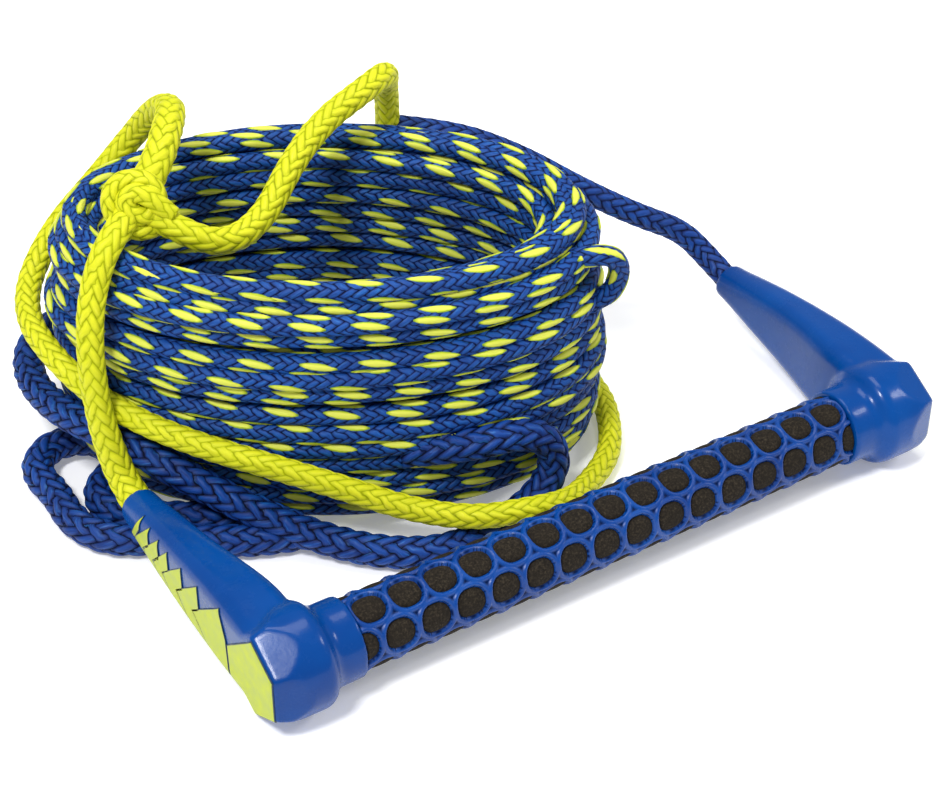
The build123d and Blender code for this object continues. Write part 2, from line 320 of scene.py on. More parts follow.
def rope_mesh(name, line, radius, around, strands, pitch, depth, widths=None):
    """A braided rope as one piece, closed at both ends."""
    points, quads, lay = braided_tube(line, radius, around, strands, pitch, depth, widths)
    first, last = len(points), (len(line) - 1) * around
    tips = [end + (end - before) * TIP_REACH for end, before in ((line[0], line[1]), (line[-1], line[-2]))]
    faces = [tuple(f) for f in quads]
    for j in range(around):
        k = (j + 1) % around
        faces.append((first, k, j))
        faces.append((first + 1, last + j, last + k))
    obj = new_mesh(name, list(points) + tips, faces)
    write_lay(obj.data, lay)
    return obj


# Yellow flecks of the main line: a long lens each, in pairs on the two sides of the line.
# Each row of flecks has its share around the line and its share of a pitch along it.
FLECK_ROWS = [(0.0, 0.0), (0.17, 0.14), (0.5, 0.5), (0.67, 0.36)]
FLECK_PITCH = 0.0225
FLECK_LENGTH = 0.0138
FLECK_HALF_WIDTH = 0.00185
FLECK_STATIONS = 7
FLECK_TILT = 0.6
FLECK_RISE = 0.0004     # above the line's surface, along the fleck's middle
FLECK_SINK = 0.0001     # below it, at the fleck's edges
FLECK_SHIFT = 0.0016    # how far a fleck may sit from its place along the line
FLECK_TWIST = 0.9       # turns that the rows make in a metre
FLECK_ACROSS = (-1, -0.45, 0.45, 1)


def fleck_points(line, along, frames, radius, start, share):
    """One fleck's points: a lens that lies on the line's surface and bulges a little."""
    _, side, up = frames
    rows = []
    for k in range(FLECK_STATIONS):
        t = k / (FLECK_STATIONS - 1)
        s = start + FLECK_LENGTH * (t - 0.5)
        centre = np.array([np.interp(s, along, line[:, n]) for n in range(3)])
        i = min(int(np.searchsorted(along, s)), len(line) - 1)
        half = FLECK_HALF_WIDTH * sin(pi * (0.04 + 0.92 * t)) ** 0.75
        lean = FLECK_TILT * (t - 0.5) * FLECK_HALF_WIDTH * 2
        for m in FLECK_ACROSS:
            angle = 2 * pi * share + (m * half + lean) / radius
            rise = FLECK_RISE * sin(pi * (0.06 + 0.88 * t)) ** 0.5 if abs(m) < 1 else -FLECK_SINK
            out = cos(angle) * side[i] + sin(angle) * up[i]
            rows.append(centre + out * (radius + rise))
    return rows


def main_line(name, line, around):
    """The main line: a blue braid with yellow flecks, as one mesh with two material slots.
    A fleck's lay is its share across, -1 to 1, its share along, and a number of its own."""
    radius = MAIN_D / 2
    points, quads, lay = braided_tube(line, radius, around, STRANDS, MAIN_PITCH, MAIN_RELIEF)
    points, faces, lay = list(points), [tuple(f) for f in quads], list(lay)
    braid_faces = len(faces)
    along = distances(line)
    frames = line_frames(line)
    columns = len(FLECK_ACROSS)
    for base_share, offset in FLECK_ROWS:
        for k in range(int(along[-1] / FLECK_PITCH)):
            start = FLECK_LENGTH / 2 + (k + offset) * FLECK_PITCH
            if start > along[-1] - FLECK_LENGTH / 2:
                continue
            slow = noise.noise(Vector((start * 3.1, 0.7, 2.9)))
            own = noise.noise(Vector((k * 5.3, base_share * 31, 0.4)))
            share = base_share + 0.35 * slow + 0.02 * own + start * FLECK_TWIST
            first = len(points)
            points += fleck_points(line, along, frames, radius, start + FLECK_SHIFT * own, share)
            for i in range(FLECK_STATIONS - 1):
                for m in range(columns - 1):
                    a = first + i * columns + m
                    faces.append((a, a + 1, a + columns + 1, a + columns))
                    low, high = FLECK_ACROSS[m:m + 2]
                    t = i / (FLECK_STATIONS - 1)
                    u = (i + 1) / (FLECK_STATIONS - 1)
                    lay += [(low, t, k), (high, t, k), (high, u, k), (low, u, k)]
    obj = new_mesh(name, points, faces)
    write_lay(obj.data, np.array(lay))
    slots = np.zeros(len(obj.data.polygons), np.int32)
    slots[braid_faces:] = 1
    return obj, slots


SPLICE_SWELL = 0.2      # a splice makes the rope this much thicker
LEG_SPLICE = 0.35       # share of the left leg that its splice fills
WRAP_SPLICE = 0.16      # share of the wrap that its splice fills
WRAP_THINNING = 0.08    # the wrap is this much thinner past its splice


def leg_width(share):
    """The left leg is swollen by its splice where it leaves the cap."""
    return 1 + SPLICE_SWELL * np.clip(1 - share / LEG_SPLICE, 0, 1)


def wrap_width(share):
    """The lead is doubled by its splice from the knot to its highest bend."""
    swell = SPLICE_SWELL * np.clip(1 - share / WRAP_SPLICE, 0, 1) ** 0.5
    return 1 + swell - WRAP_THINNING * np.clip((share - 0.2) * 5, 0, 1)


def knot_line():
    """The turns of the bridle's knot, in millimetres to the camera's right, up in its view and
    towards it."""
    yaw, tilt = radians(-CAMERA_YAW), radians(90 - CAMERA_TILT)
    right = np.array((cos(yaw), -sin(yaw), 0))
    ahead = np.array((sin(yaw), cos(yaw), 0))
    up = ahead * sin(tilt) + np.array((0, 0, cos(tilt)))
    near = -ahead * cos(tilt) + np.array((0, 0, sin(tilt)))
    steps = [
        (-5.0, -9.0, -3.0), (-1.5, -4.0, -5.5), (3.0, 0.0, -6.5), (7.5, 1.5, -6.0), (9.5, -3.5, -4.0),
        (7.0, -8.5, -1.0), (1.5, -10.0, 0.5), (-4.0, -7.5, 2.0), (-8.0, -3.5, 3.5), (-8.8, 2.0, 5.0),
        (-6.5, 7.2, 5.5), (-1.0, 9.6, 5.5), (4.6, 9.0, 5.0), (8.6, 5.2, 3.5), (8.6, -0.6, 2.0),
        (4.6, -4.6, 3.5), (-0.8, -3.6, 6.0), (-3.0, 0.8, 7.5), (0.2, 4.2, 8.0), (5.4, 3.0, 7.0),
        (10.0, -0.6, 5.0), (14.0, -4.0, 2.0),
    ]
    return [tuple(np.array(KNOT_POS) + MM * (a * right + b * up + c * near)) for a, b, c in steps]


def make_ropes():
    """Every rope's smooth line and its own piece, and which faces of the main line are flecks."""
    braided = {
        "left_bridle_leg": (BRIDLE_LEFT, FINE_STEP, BRIDLE_BRAID, leg_width),
        "bridle_lead_rope": (BRIDLE_LEAD, FINE_STEP, BRIDLE_BRAID, None),
        "right_bridle_leg": (BRIDLE_RIGHT, FINE_STEP, BRIDLE_BRAID, None),
        "yellow_wrap_rope": (LEAD_WRAP[:-1] + [WRAP_TUCK], ROPE_STEP, BRIDLE_BRAID, wrap_width),
        "take_off_rope": (TAKE_OFF_LOOP, ROPE_STEP, LOOP_BRAID, None),
        "floor_loop_rope": (GROUND_LOOP, ROPE_STEP, LOOP_BRAID, None),
        "fold_inner_rope": (FOLD_STRAND, ROPE_STEP, LOOP_BRAID, None),
        "bridle_knot_turns": (knot_line(), FINE_STEP, KNOT_BRAID, None),
    }
    made, lines, fleck_slots = {}, {}, {}
    for name, (route, step, braid, widths) in braided.items():
        lines[name] = smooth_line(route, step)
        made[name] = rope_mesh(name, lines[name], widths=widths, **braid)
    lines["side_bight_line"] = smooth_line(SIDE_BIGHT, BIGHT_STEP)
    lines["coiled_main_line"] = smooth_line(coil_points(), COIL_STEP, 8)
    for name, around in (("side_bight_line", 24), ("coiled_main_line", 14)):
        made[name], fleck_slots[name] = main_line(name, lines[name], around)
    return made, lines, fleck_slots


make_camera()
ropes, lines, fleck_slots = make_ropes()


# ---------------------------------------------------------------- materials

def colour(red, green, blue):
    """A colour given in the usual 0 to 255 steps, as linear light."""
    return tuple(((c / 255 + 0.055) / 1.055) ** 2.4 if c > 10 else c / 255 / 12.92
                 for c in (red, green, blue)) + (1.0,)


class Graph:
    """A material's nodes, added one call at a time."""

    def __init__(self, name):
        self.material = bpy.data.materials.new(name)
        self.material.use_nodes = True
        self.tree = self.material.node_tree
        self.tree.nodes.clear()
        output = self.tree.nodes.new("ShaderNodeOutputMaterial")
        self.shader = self.tree.nodes.new("ShaderNodeBsdfPrincipled")
        self.tree.links.new(self.shader.outputs[0], output.inputs[0])

    def put(self, socket, value):
        if isinstance(value, bpy.types.NodeSocket):
            self.tree.links.new(value, socket)
        else:
            socket.default_value = value

    def set(self, **values):
        """Sets the shader's own sockets; base_color stands for Base Color, and so on."""
        for name, value in values.items():
            words = name.replace("_", " ").title().replace("Ior", "IOR")
            self.put(self.shader.inputs[words], value)

    def math(self, operation, a, b=0.0):
        node = self.tree.nodes.new("ShaderNodeMath")
        node.operation = operation
        self.put(node.inputs[0], a)
        self.put(node.inputs[1], b)
        return node.outputs[0]

    def blend(self, factor, a, b):
        """Between two numbers."""
        node = self.tree.nodes.new("ShaderNodeMix")
        for socket, value in zip((0, 2, 3), (factor, a, b)):
            self.put(node.inputs[socket], value)
        return node.outputs[0]

    def mix(self, factor, a, b):
        """Between two colours."""
        node = self.tree.nodes.new("ShaderNodeMix")
        node.data_type = "RGBA"
        for socket, value in zip((0, 6, 7), (factor, a, b)):
            self.put(node.inputs[socket], value)
        return node.outputs[2]

    def ramp(self, factor, *stops):
        """A run of (place, colour) stops."""
        node = self.tree.nodes.new("ShaderNodeValToRGB")
        elements = node.color_ramp.elements
        while len(elements) < len(stops):
            elements.new(0.5)
        for element, (place, shade) in zip(elements, stops):
            element.position = place
            element.color = shade
        self.put(node.inputs[0], factor)
        return node.outputs[0]

    def range(self, value, low, high, to_low=0.0, to_high=1.0):
        node = self.tree.nodes.new("ShaderNodeMapRange")
        for socket, number in zip(range(5), (value, low, high, to_low, to_high)):
            self.put(node.inputs[socket], number)
        return node.outputs[0]

    def attribute(self, name):
        node = self.tree.nodes.new("ShaderNodeAttribute")
        node.attribute_name = name
        split = self.tree.nodes.new("ShaderNodeSeparateXYZ")
        self.put(split.inputs[0], node.outputs["Vector"])
        return split.outputs[0], split.outputs[1], split.outputs[2]

    def vector(self, x, y, z=0.0):
        node = self.tree.nodes.new("ShaderNodeCombineXYZ")
        for socket, value in zip(node.inputs, (x, y, z)):
            self.put(socket, value)
        return node.outputs[0]

    def place(self):
        return self.tree.nodes.new("ShaderNodeTexCoord").outputs["Object"]

    def noise(self, scale, vector=None, detail=3.0, roughness=0.5):
        node = self.tree.nodes.new("ShaderNodeTexNoise")
        self.put(node.inputs["Vector"], self.place() if vector is None else vector)
        for socket, value in (("Scale", scale), ("Detail", detail), ("Roughness", roughness)):
            self.put(node.inputs[socket], value)
        return node.outputs["Fac"]

    def bump(self, height, strength, distance):
        node = self.tree.nodes.new("ShaderNodeBump")
        for socket, value in (("Height", height), ("Strength", strength), ("Distance", distance)):
            self.put(node.inputs[socket], value)
        self.put(self.shader.inputs["Normal"], node.outputs[0])


def braid_material(name, shades, strands, pitch, fibres=5.0, gap_shade_strength=0.9, relief=0.5):
    """A rope's twill braid: long stitches that lean two ways, with painted shade where they dive, and fine
    fibres.
    shades are the colours of the gaps and of the stitches' sides, both painted shade, of their tops, and
    of the fibres' painted highlight streaks."""
    gap_shade, side, top, bright = shades
    g = Graph(name)
    around, along, _ = g.attribute("lay")
    warp = g.noise(260.0, detail=1.0)
    across = g.math("ADD", g.math("MULTIPLY", around, float(strands)),
                    g.range(warp, 0.3, 0.7, -0.09, 0.09))
    steps = g.math("ADD", g.math("DIVIDE", along, pitch), g.range(warp, 0.3, 0.7, 0.1, -0.1))
    p, q = g.math("ADD", across, steps), g.math("SUBTRACT", across, steps)

    def float_share(run, other):
        """Where a strand is along its float: 0 to 1 on top, and more while it is under."""
        moved = g.math("ADD", run, g.math("FLOOR", other))
        return g.math("DIVIDE", g.math("FLOORED_MODULO", moved, 4.0), 2.0)

    def hump(share, power):
        """Rises from 0 to 1 and falls back over a share of 0 to 1."""
        angle = g.math("MULTIPLY", g.math("MINIMUM", share, 1.0), pi)
        return g.math("POWER", g.math("SINE", angle), power)

    def crown(share):
        """Half height where a strand dives, full height in the middle of its float."""
        return g.math("ADD", g.math("MULTIPLY", hump(share, 0.7), 0.5), 0.5)

    first, second = float_share(p, q), g.math("SUBTRACT", float_share(q, p), 1.0)
    second = g.math("MAXIMUM", second, 0.0)
    under = g.math("GREATER_THAN", first, 1.0)
    height = g.blend(under, g.math("MULTIPLY", hump(g.math("FRACT", q), 0.6), crown(first)),
                     g.math("MULTIPLY", hump(g.math("FRACT", p), 0.6), crown(second)))
    over, run = g.blend(under, q, p), g.blend(under, p, q)
    threads = g.vector(g.math("MULTIPLY", over, fibres), g.math("MULTIPLY", run, 0.55),
                       g.math("MULTIPLY", under, 7.3))
    fine = g.noise(1.0, threads, 3.0, 0.65)
    broad = g.noise(38.0, detail=2.0)
    # Painted shade: the colour darkens from the stitches' tops down their sides into the gaps.
    base = g.ramp(height, (0.22, gap_shade), (0.48, side), (0.8, top))
    # Painted highlight: light streaks along some of the fine fibres.
    lit = g.mix(g.range(fine, 0.55, 0.72, 0.0, 0.8), base, g.mix(0.5, bright, base))
    dulled = g.mix(g.range(fine, 0.46, 0.3, 0.0, 0.7), lit, side)
    worn = g.mix(g.range(broad, 0.62, 0.35, 0.0, 0.4), dulled, side)
    # More painted shade, deepest in the gaps between the stitches.
    g.set(base_color=g.mix(g.range(height, 0.42, 0.1, 0.0, gap_shade_strength), worn, gap_shade))
    g.set(roughness=g.range(fine, 0.3, 0.7, 0.75, 0.5),
          specular_ior_level=g.range(height, 0.1, 0.7, 0.05, 0.35))
    g.bump(g.math("ADD", height, g.math("MULTIPLY", fine, 0.5)), relief, 0.0006)
    return g.material


def fleck_material():
    """Yellow yarn of a fleck: bright along its crown, darkened to green at its edges and ends by painted
    shade, with long fibres.
    """
    g = Graph("fleck_yarn")
    across, along, own = g.attribute("lay")
    edge = g.math("ABSOLUTE", across)
    ends = g.math("ABSOLUTE", g.math("SUBTRACT", along, 0.5))
    threads = g.vector(g.math("MULTIPLY", across, 4.0), g.math("MULTIPLY", along, 1.6), own)
    fine = g.noise(1.0, threads, 3.0, 0.6)
    # Painted shade: the fleck darkens towards its edges and ends, where it sinks into the braid.
    rim = g.math("MAXIMUM", g.range(edge, 0.45, 1.0), g.range(ends, 0.34, 0.5))
    edge_shade = g.math("ADD", rim, g.range(fine, 0.35, 0.7, -0.12, 0.2))
    base = g.ramp(edge_shade, (0.0, colour(214, 218, 84)), (0.4, colour(190, 202, 46)),
                  (0.9, colour(104, 138, 26)))
    g.set(base_color=base, roughness=0.55, specular_ior_level=0.3)
    g.bump(fine, 0.4, 0.0004)
    return g.material


def cap_material():
    """Smooth moulded plastic with a soft shine, faint flow marks and small scuffs."""
    g = Graph("cap_plastic")
    flow = g.noise(22.0, detail=4.0)
    grain = g.noise(900.0, detail=2.0)
    scuff = g.noise(160.0, detail=6.0, roughness=0.7)
    base = g.mix(g.range(flow, 0.35, 0.65), colour(0, 56, 126), colour(0, 68, 142))
    worn = g.mix(g.range(scuff, 0.68, 0.78, 0.0, 0.2), base, colour(20, 84, 160))
    g.set(base_color=worn, roughness=g.range(scuff, 0.4, 0.7, 0.2, 0.34), specular_ior_level=0.14,
          coat_weight=0.12, coat_roughness=0.06)
    g.bump(g.math("ADD", grain, g.math("MULTIPLY", flow, 3.0)), 0.06, 0.0004)
    return g.material


def skin_material():
    """Soft rubber of the grip's skin: satin, with a fine grain, and painted shade in the grooves between
    its rims.
    """
    g = Graph("grip_rubber")
    broad, grain = g.noise(45.0, detail=4.0), g.noise(1400.0, detail=2.0)
    base = g.mix(g.range(broad, 0.35, 0.65), colour(0, 50, 122), colour(2, 66, 144))
    groove, _, _ = g.attribute("groove")
    # Painted shade: dark blue in the grooves between rims and at the windows' edges.
    g.set(base_color=g.mix(groove, base, colour(0, 12, 50)),
          roughness=g.range(grain, 0.3, 0.7, 0.26, 0.4), specular_ior_level=g.blend(groove, 0.3, 0.05))
    g.bump(grain, 0.12, 0.0003)
    return g.material


def foam_material():
    """Closed-cell foam: brown-black, matt, full of pin-prick cells."""
    g = Graph("grip_foam")
    cells, broad = g.noise(1100.0, detail=4.0, roughness=0.7), g.noise(70.0, detail=3.0)
    base = g.ramp(cells, (0.3, colour(18, 16, 14)), (0.52, colour(38, 33, 27)),
                  (0.74, colour(70, 62, 50)))
    g.set(base_color=g.mix(g.range(broad, 0.4, 0.65, 0.0, 0.4), base, colour(30, 26, 21)),
          roughness=0.95, specular_ior_level=0.15)
    g.bump(cells, 0.5, 0.0005)
    return g.material


def speckled_material(name, dark, light, scale, roughness, metallic=0.0, stretch=(1, 1, 1)):
    """A plain moulded or drawn finish: two close shades, a fine grain and its bump."""
    g = Graph(name)
    node = g.tree.nodes.new("ShaderNodeMapping")
    g.put(node.inputs["Vector"], g.place())
    node.inputs["Scale"].default_value = stretch
    grain = g.noise(scale, node.outputs[0], 4.0)
    g.set(base_color=g.ramp(grain, (0.3, dark), (0.7, light)), metallic=metallic)
    g.set(roughness=g.range(grain, 0.3, 0.7, roughness * 0.8, roughness * 1.2))
    g.bump(grain, 0.15, 0.0003)
    return g.material


def yarn_material(name, shades):
    """Rope seen inside a cap, packed flat: crossing bands with fine fibres, and painted shade that darkens
    the gaps between bands.
    """
    gap_shade, side, top, _ = shades
    g = Graph(name)
    bands = []
    for turn in (0.7, -0.7):
        mapping = g.tree.nodes.new("ShaderNodeMapping")
        g.put(mapping.inputs["Vector"], g.place())
        mapping.inputs["Rotation"].default_value = (turn, turn, 0)
        wave = g.tree.nodes.new("ShaderNodeTexWave")
        g.put(wave.inputs["Vector"], mapping.outputs[0])
        g.put(wave.inputs["Scale"], 130.0)
        g.put(wave.inputs["Distortion"], 2.0)
        bands.append(wave.outputs["Fac"])
    height = g.math("MAXIMUM", *bands)
    fine = g.noise(700.0, detail=3.0)
    # Painted shade: the ramp darkens the low parts of the bands.
    g.set(base_color=g.ramp(g.math("MULTIPLY", height, g.range(fine, 0.2, 0.7, 0.6, 1.0)),
                            (0.2, gap_shade), (0.6, side), (0.95, top)), roughness=0.6)
    g.bump(height, 0.5, 0.0006)
    return g.material


# A rope's colours: the gaps and the stitches' sides, both painted shade, their tops, and the fibres'
# painted highlight streaks.
YELLOW = [colour(138, 146, 6), colour(188, 194, 10), colour(212, 212, 22), colour(232, 226, 74)]
BLUE = [colour(0, 4, 26), colour(0, 28, 88), colour(0, 62, 144), colour(40, 132, 214)]
LINE_BLUE = [colour(0, 5, 30), colour(0, 38, 104), colour(0, 74, 154), colour(34, 132, 212)]

finish_of = {
    "yellow": braid_material("yellow_braid", YELLOW, STRANDS, BRIDLE_PITCH, gap_shade_strength=0.3),
    "blue": braid_material("blue_braid", BLUE, STRANDS, LOOP_PITCH),
    "bridle_blue": braid_material("bridle_blue_braid", BLUE, STRANDS, BRIDLE_PITCH),
    "knot": braid_material("knot_braid", YELLOW, KNOT_STRANDS, KNOT_PITCH, gap_shade_strength=0.25),
    "line": braid_material("main_line_braid", LINE_BLUE, STRANDS, MAIN_PITCH, fibres=4.0, relief=0.8),
    "fleck": fleck_material(),
    "cap": cap_material(),
    "skin": skin_material(),
    "foam": foam_material(),
    "label": speckled_material("label_film", colour(158, 174, 22), colour(180, 192, 30), 220.0, 0.5),
    "label_rim": speckled_material("label_rim", colour(14, 40, 58), colour(22, 54, 70), 300.0, 0.5),
    "tube": speckled_material("drawn_aluminium", colour(150, 152, 156), colour(205, 207, 210), 420.0, 0.32,
                              1.0, (0.04, 1, 1)),
    "core": speckled_material("core_foam", colour(196, 190, 172), colour(226, 222, 206), 500.0, 0.9),
    "plug": speckled_material("plug_plastic", colour(70, 74, 80), colour(104, 108, 114), 260.0, 0.5),
    "eye_yellow": yarn_material("packed_yellow_rope", YELLOW),
    "eye_blue": yarn_material("packed_blue_rope", BLUE),
}


def dress(obj, *names):
    """Gives a piece or a CAD node its materials."""
    obj.data.materials.clear()
    for name in names:
        obj.data.materials.append(finish_of[name])


# ---------------------------------------------------------------- handle

CAP_VOXEL = 0.0008
CAP_SMOOTHING = 7       # passes that round the remeshed edges


def make_cap(side):
    """The CAD cap's own shape, remeshed finely so that its edges and webs are softly moulded."""
    cap = joined("cap_shell_" + side, ["end_cap_" + side, "rope_eye_" + side])
    remesh = cap.modifiers.new("remesh", "REMESH")
    remesh.mode = "VOXEL"
    remesh.voxel_size = CAP_VOXEL
    remesh.use_smooth_shade = True
    smooth = cap.modifiers.new("smooth", "SMOOTH")
    smooth.factor = 0.5
    smooth.iterations = CAP_SMOOTHING
    settle(cap)
    dress(cap, "cap")
    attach(cap, "root")
    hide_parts("end_cap_" + side)
    return cap


def joined(name, names):
    """A new piece with these CAD nodes' meshes together, as the cap and the rope it is moulded round."""
    mesh = bpy.data.meshes.new(name)
    points, faces = [], []
    for node in names:
        first = len(points)
        points += [tuple(v.co) for v in nodes[node].data.vertices]
        faces += [tuple(first + i for i in f.vertices) for f in nodes[node].data.polygons]
    mesh.from_pydata(points, [], faces)
    obj = bpy.data.objects.new(name, mesh)
    bpy.context.scene.collection.objects.link(obj)
    return obj


def settle(obj):
    """Puts a piece's modifiers into its mesh."""
    mesh = bpy.data.meshes.new_from_object(obj.evaluated_get(bpy.context.evaluated_depsgraph_get()))
    obj.modifiers.clear()
    obj.data = mesh
    mesh.polygons.foreach_set("use_smooth", np.ones(len(mesh.polygons), bool))


# The label on a cap's outer side, in millimetres from the bar's axis: towards the boot's tip, and up.
# Each chevron has the place of its back corner and how far up that corner is.
CHEVRON_BACKS = [
    (88.9, 9.2), (81.3, 9.4), (72.9, 9.8), (64.9, 10.0), (53.5, 10.8), (40.4, 11.8), (23.6, 14.2),
]
FIRST_TIP = 97.5
TIP_AHEAD = 6.2
CHEVRON_GAP = 0.8
CHEVRON_POINT = -4.0    # the chevrons' tips, below the bar's axis
LOWER_REACH = 1.45      # the lower arms are this much longer than the upper
HOUSE = [(18.4, 1.0), (-1.0, 17.6), (-15.6, 9.2), (-15.6, -9.2), (-1.0, -17.6), (17.4, -21.0)]
LABEL_CUT = 0.9 * MM
LABEL_RIM = 0.5 * MM
LABEL_LIFT = 0.16 * MM
LABEL_THICKNESS = LABEL_LIFT * 1.6
LABEL_INNERMOST = 0.139      # no plate lies nearer the middle than this
RAYS_FROM = 0.2              # outside the cap, where the rays that find its side start


def label_outlines():
    """Each chevron's outline, and the plate that fills the six-sided face."""
    outlines, tip = [], FIRST_TIP
    ahead = TIP_AHEAD - CHEVRON_GAP * 1.5
    for back, half in CHEVRON_BACKS:
        slope = (half - CHEVRON_POINT) / (tip - back)
        lower = -half * LOWER_REACH
        lean = (CHEVRON_POINT - lower) / slope
        if back == CHEVRON_BACKS[-1][0]:
            inner = [(HOUSE[0][0] + CHEVRON_GAP, HOUSE[0][1] + 1.0), (HOUSE[-1][0] + CHEVRON_GAP, lower)]
        else:
            notch = CHEVRON_POINT + slope * (ahead - 0.2)
            inner = [(back, notch), (back + ahead, CHEVRON_POINT), (back + ahead - lean, lower)]
        outlines.append([(tip, CHEVRON_POINT), (back, half)] + inner + [(tip - lean, lower)])
        tip = back + TIP_AHEAD
    return outlines + [HOUSE]


def make_label(side, cap):
    """Thin film plates that lie on the cap's outer side and follow its rounded edges."""
    sign = 1 if side == "right" else -1
    low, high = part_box("bar_tube")
    axis = (low + high) / 2
    surface = BVHTree.FromObject(cap, bpy.context.evaluated_depsgraph_get())
    film = bmesh.new()
    for outline in label_outlines():
        corners = [film.verts.new((0, axis.y + y * MM, axis.z + z * MM)) for y, z in outline]
        face = film.faces.new(corners)
        if face.normal.dot(Vector((sign, 0, 0))) < 0:
            face.normal_flip()
    film.normal_update()
    whole = list(film.faces)
    rims = bmesh.ops.inset_individual(film, faces=whole, thickness=LABEL_RIM)["faces"]
    for face in rims:
        face.material_index = 1
    ys = [v.co.y for v in film.verts]
    zs = [v.co.z for v in film.verts]
    for low_at, high_at, direction in ((min(ys), max(ys), (0, 1, 0)), (min(zs), max(zs), (0, 0, 1))):
        for k in range(1, int((high_at - low_at) / LABEL_CUT)):
            place = Vector(direction) * (low_at + k * LABEL_CUT)
            bmesh.ops.bisect_plane(film, geom=film.verts[:] + film.edges[:] + film.faces[:],
                                   plane_co=place, plane_no=direction)
    missed = []
    for vert in film.verts:
        hit = surface.ray_cast(Vector((sign * RAYS_FROM, vert.co.y, vert.co.z)), Vector((-sign, 0, 0)))
        if hit[0] is None or abs(hit[0].x) < LABEL_INNERMOST:
            missed.append(vert)
        else:
            vert.co.x = hit[0].x + sign * LABEL_LIFT
    bmesh.ops.delete(film, geom=missed, context="VERTS")
    for face in film.faces:
        face.smooth = True
    mesh = bpy.data.meshes.new("label_" + side)
    film.to_mesh(mesh)
    film.free()
    label = bpy.data.objects.new("label_" + side, mesh)
    bpy.context.scene.collection.objects.link(label)
    solid = label.modifiers.new("thickness", "SOLIDIFY")
    solid.thickness = LABEL_THICKNESS
    settle(label)
    faces_of = np.zeros(len(label.data.polygons), np.int32)
    label.data.polygons.foreach_get("material_index", faces_of)
    dress(label, "label", "label_rim")
    label.data.polygons.foreach_set("material_index", faces_of)
    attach(label, "root")
    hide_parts("cap_label_" + side)


CELLS_ALONG = 15
CELLS_AROUND = 6
CELL_PITCH = 0.0149
CELL_TURN = 14 / 360    # the first row stands this share of a turn from straight up
WINDOW_HALF_X = 0.0063
WINDOW_HALF_Y = 0.0063
WINDOW_ROUND = 2.35     # 2 would be an oval, and more is squarer
SKIN_R = 0.0135         # the skin in the grooves between its raised rims
RIM_HEIGHT = 0.001
RIM_AT = 0.00075        # from the window's edge
RIM_WIDTH = 0.0009
WALL = 0.0006           # width of the slope from the skin down to the window's floor
FLOOR_R = 0.0122        # the skin's lowest, under the foam
FOAM_R = 0.0134
FOAM_CROWN = 0.0006
FOAM_EDGE = 0.0007      # how far the foam turns down at a window's edge
FOAM_UNDER_SKIN = 0.0003
TUBE_R = 0.0111
GROOVE_SHADE_TOP = 0.00045    # this far above SKIN_R the skin gets no painted groove shade any more
GROOVE_SHADE_BLEND = 0.0004
GROOVE_SHADE_REACH = 0.0002   # the painted groove shade goes this far over a window's edge
SKIN_STEP, SKIN_AROUND = 0.0005, 176
FOAM_STEP, FOAM_AROUND = 0.0007, 126


def window_distance(x, around):
    """How far outside the nearest window a place on the grip is, in metres; inside it is negative."""
    best = np.full(np.broadcast(x, around).shape, 9.0)
    height = 2 * pi * SKIN_R / CELLS_AROUND
    for row in range(CELLS_AROUND):
        count = CELLS_ALONG + row % 2
        y = ((around - CELL_TURN - row / CELLS_AROUND + 0.5) % 1 - 0.5) * height * CELLS_AROUND
        first = -(count - 1) / 2 * CELL_PITCH
        k = np.clip(np.round((x - first) / CELL_PITCH), 0, count - 1)
        dx = x - first - k * CELL_PITCH
        reach = (np.abs(dx / WINDOW_HALF_X) ** WINDOW_ROUND
                 + np.abs(y / WINDOW_HALF_Y) ** WINDOW_ROUND) ** (1 / WINDOW_ROUND)
        best = np.minimum(best, (reach - 1) * (WINDOW_HALF_X + WINDOW_HALF_Y) / 2)
    return best


def skin_radius(x, around):
    """The skin: a raised rim round each window, a groove between rims, a wall down to the foam."""
    out = window_distance(x, around)
    rim = RIM_HEIGHT * np.exp(-((out - RIM_AT) / RIM_WIDTH) ** 2)
    inside = np.clip(-out / WALL, 0, 1)
    return (SKIN_R + rim) * (1 - inside) + FLOOR_R * inside


def foam_radius(x, around):
    """The foam: a low pillow in each window."""
    out = window_distance(x, around)
    depth = np.clip(-out / WINDOW_HALF_X, 0, 1)
    crown = FOAM_R - FOAM_EDGE * (1 - np.clip(depth * 4, 0, 1)) + FOAM_CROWN * (1 - (1 - depth) ** 2)
    return np.where(out > 0, FLOOR_R - FOAM_UNDER_SKIN, crown)


def grip_tube(name, node, step, around, radius_of):
    """A closed tube along the grip's axis with a radius for every place on it."""
    low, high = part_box(node)
    centre = (low + high) / 2
    xs = np.linspace(low.x, high.x, int(round((high.x - low.x) / step)) + 1)
    share = np.arange(around) / around
    radii = radius_of(xs[:, None], share[None, :])
    radii[[0, -1]] = TUBE_R
    angle = 2 * pi * share + pi / 2
    y = centre.y + radii * np.cos(angle)
    z = centre.z + radii * np.sin(angle)
    points = np.stack([np.broadcast_to(xs[:, None], y.shape), y, z], -1).reshape(-1, 3)
    faces = [tuple(f)[::-1] for f in grid_faces(len(xs), around)]
    obj = new_mesh(name, points, faces)
    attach(obj, "root")
    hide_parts(node)
    return obj


